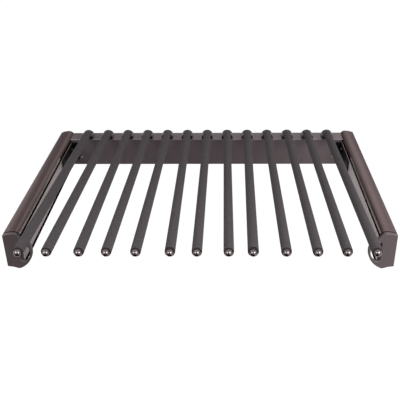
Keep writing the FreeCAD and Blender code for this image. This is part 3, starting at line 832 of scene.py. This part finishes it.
class RACK_OT_sides(bpy.types.Operator):
    """Finish the covers, end plates, side rails, seals and strips"""
    bl_idname = "rack.sides"
    bl_label = "Side pieces"

    def execute(self, context):
        sizes = context.scene.rack_sizes
        for side, outward in OUTWARD.items():
            self.add_cover(sizes, side, outward)
            self.add_seam_shade(sizes, side)
            self.add_end_plate(sizes, side)
            self.add_side_rail(sizes, side)
            # The groove seal's black is painted shade for the shadowed gap under the cover's lip
            ease_node(f"{side}_groove_seal", sizes.extrusion_easing)
            self.add_edge_strip(sizes, side, outward)
        return {"FINISHED"}

    def add_cover(self, sizes, side, outward):
        """The cover, with a rounded lip beside the side rail and its front end drawn back; the lip's
        edge gets a painted highlight.
        """
        node = f"{side}_cover"
        mesh = node_mesh(node)
        low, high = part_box(node)
        front = [vert for vert in mesh.verts if vert.co.y < low.y + TOUCH]
        bmesh.ops.translate(mesh, verts=front, vec=(0, sizes.cover_gap, 0))
        inner = min(low.x, high.x, key=abs)
        lip_verts = [vert for vert in mesh.verts if is_near(vert.co.x, inner)]
        lip = edges_among(mesh.edges, lip_verts)
        setback = outward * sizes.lip_setback
        bmesh.ops.translate(mesh, verts=lip_verts, vec=(setback, 0, 0))
        round_edges(mesh, lip, sizes.lip_radius, segments=4)
        round_edges(mesh, edges_among(corners_of(mesh), front), sizes.extrusion_easing)
        bracket = self.cut_at_bracket(mesh, side)
        for face in mesh.faces:
            middle = face.calc_center_median()
            lip_highlight_face = (is_near(middle.x, inner + setback, sizes.lip_highlight_width)
                      and middle.z > low.z + LIP_RISE and abs(face.normal.x) > STEEP)
            # Painted highlight: the faces along the lip, before the bracket, get the pale edge
            # material
            face.material_index = int(lip_highlight_face and middle.y < bracket)
        shell = add_piece(mesh, f"{node}_shell", node)
        shell.data.materials.append(finish_of("cut_edge_and_highlight"))

    def cut_at_bracket(self, mesh, side):
        """Cuts the long faces of a mesh where the corner bracket starts, and gives that place."""
        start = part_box(f"{side}_corner_bracket")[0].y
        cut(mesh, (0, start, 0), (0, 1, 0))
        return start

    def add_seam_shade(self, sizes, side):
        """Painted shade in the seam between a cover and its end plate: a black slice of the cover,
        lowered.
        """
        mesh = node_mesh(f"{side}_cover")
        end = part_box(f"{side}_cover")[0].y + sizes.cover_gap
        cut(mesh, (0, end, 0), (0, 1, 0), clear_outer=True)
        close_rim(mesh)
        bmesh.ops.translate(mesh, verts=mesh.verts, vec=(0, 0, -sizes.seam_shade_drop))
        add_piece(mesh, f"{side}_cover_seam_shade", slot="black_trim",
                  body=body_of(f"{side}_cover"))

    def add_end_plate(self, sizes, side):
        """The end plate, with eased edges; its finger hole sits lower and widens to the rear."""
        node = f"{side}_end_plate"
        mesh = node_mesh(node)
        hole = next(opening["box_m"] for opening in frame["record"]["physics"]["openings"]
                    if opening["name"] == f"{side}_finger_hole")
        middle = (Vector(hole[0]) + Vector(hole[1])) / 2
        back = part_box(f"{side}_cover")[0].y

        def in_plate(face):
            return all(vert.co.y < back + TOUCH for vert in face.verts)

        walls = [face for face in mesh.faces if in_plate(face) and abs(face.normal.y) < FACING
                 and face.normal.dot(middle - face.calc_center_median()) > 0]
        rim = list({vert for face in walls for vert in face.verts
                    if all(in_plate(near) for near in vert.link_faces)})
        rear = [vert for vert in rim if vert.co.y > back - TOUCH]
        flat = max((vert.co.x for vert in rim), key=abs)
        width = max(abs(vert.co.x - flat) for vert in rim)
        for verts, growth in ((rim, sizes.hole_growth), (rear, sizes.hole_draft)):
            bmesh.ops.scale(mesh, verts=verts, vec=(1 + growth / width, 1, 1),
                            space=Matrix.Translation((-flat, 0, 0)))
        bmesh.ops.translate(mesh, verts=rim, vec=(0, 0, -sizes.hole_drop))
        round_edges(mesh, corners_of(mesh), sizes.extrusion_easing)
        add_piece(mesh, f"{node}_eased", node)

    def add_side_rail(self, sizes, side):
        """The side rail, with rounded corners, a pale top edge that is a painted highlight and a bare
        front end.
        """
        node = f"{side}_side_rail"
        mesh = node_mesh(node)
        low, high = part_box(node)
        inner = min(low.x, high.x, key=abs)
        round_edges(mesh, corners_of(mesh), sizes.extrusion_easing)
        bracket = self.cut_at_bracket(mesh, side)
        for face in mesh.faces:
            middle = face.calc_center_median()
            top_highlight_face = (high.z - middle.z < sizes.extrusion_easing
                       and is_near(middle.x, inner, sizes.edge_width))
            at_front = face.normal.y < -FACING
            # Painted highlight on the top edge; the front end is the bare cut
            face.material_index = int(top_highlight_face and middle.y < bracket or at_front)
        rail = add_piece(mesh, f"{node}_extrusion", node, finish="rail_bronze")
        rail.data.materials.append(finish_of("cut_edge_and_highlight"))

    def add_edge_strip(self, sizes, side, outward):
        """The black strip under the side rail, painted shade for the dark line along the rail's foot,
        with a thin lip up the rail's inner face that widens that line.
        """
        node = f"{side}_edge_strip"
        mesh = node_mesh(node)
        low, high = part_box(node)
        inner = min(low.x, high.x, key=abs)
        face = [vert for vert in mesh.verts if is_near(vert.co.x, inner)]
        top = [vert for vert in face if is_near(vert.co.z, high.z)]
        inward = -outward * sizes.strip_lip_thickness
        bmesh.ops.translate(mesh, verts=face, vec=(inward, 0, 0))
        bmesh.ops.translate(mesh, verts=top, vec=(0, 0, sizes.strip_lip_height))
        round_edges(mesh, corners_of(mesh), sizes.strip_lip_thickness / 2)
        add_piece(mesh, f"{node}_profile", node)


class RACK_OT_runners(bpy.types.Operator):
    """Finish the runner members, their glides and buffers, and the bars' cores"""
    bl_idname = "rack.runners"
    bl_label = "Runners"

    def execute(self, context):
        easing = context.scene.rack_sizes.sheet_easing
        for side in OUTWARD:
            for piece in ("outer_member", "middle_member", "inner_member", "outer_guide",
                          "middle_shoe", "middle_guide", "inner_shoe", "rear_buffer"):
                ease_node(f"{side}_{piece}", easing)
        for node in BARS:
            core = frame["nodes"][node.replace("sleeve", "core")]
            core.data.materials.clear()
            core.data.materials.append(finish_of("core_steel"))
        return {"FINISHED"}


class RACK_PT_panel(bpy.types.Panel):
    """Lists the rack's pieces, sizes and colours"""
    bl_label = "Trouser Rack"
    bl_idname = "RACK_PT_panel"
    bl_space_type = "VIEW_3D"
    bl_region_type = "UI"
    bl_category = "Trouser Rack"

    def draw(self, context):
        for operator in OPERATORS:
            self.layout.operator(operator.bl_idname)
        for group in (context.scene.rack_sizes, context.scene.rack_colours):
            box = self.layout.box()
            for setting in group.bl_rna.properties:
                if not setting.is_readonly and setting.identifier != "name":
                    box.prop(group, setting.identifier)


OPERATORS = (RACK_OT_stage, RACK_OT_bars, RACK_OT_back_rail, RACK_OT_sides, RACK_OT_runners)
CLASSES = (RackSizes, RackColours, *OPERATORS, RACK_PT_panel)


def register():
    for cls in CLASSES:
        bpy.utils.register_class(cls)
    bpy.types.Scene.rack_sizes = bpy.props.PointerProperty(type=RackSizes)
    bpy.types.Scene.rack_colours = bpy.props.PointerProperty(type=RackColours)


def unregister():
    del bpy.types.Scene.rack_sizes
    del bpy.types.Scene.rack_colours
    for cls in reversed(CLASSES):
        bpy.utils.unregister_class(cls)


def main():
    register()
    bpy.ops.rack.stage()
    bpy.ops.rack.bars()
    bpy.ops.rack.back_rail()
    bpy.ops.rack.sides()
    bpy.ops.rack.runners()
    bpy.context.view_layer.update()


if __name__ == "__main__":
    main()
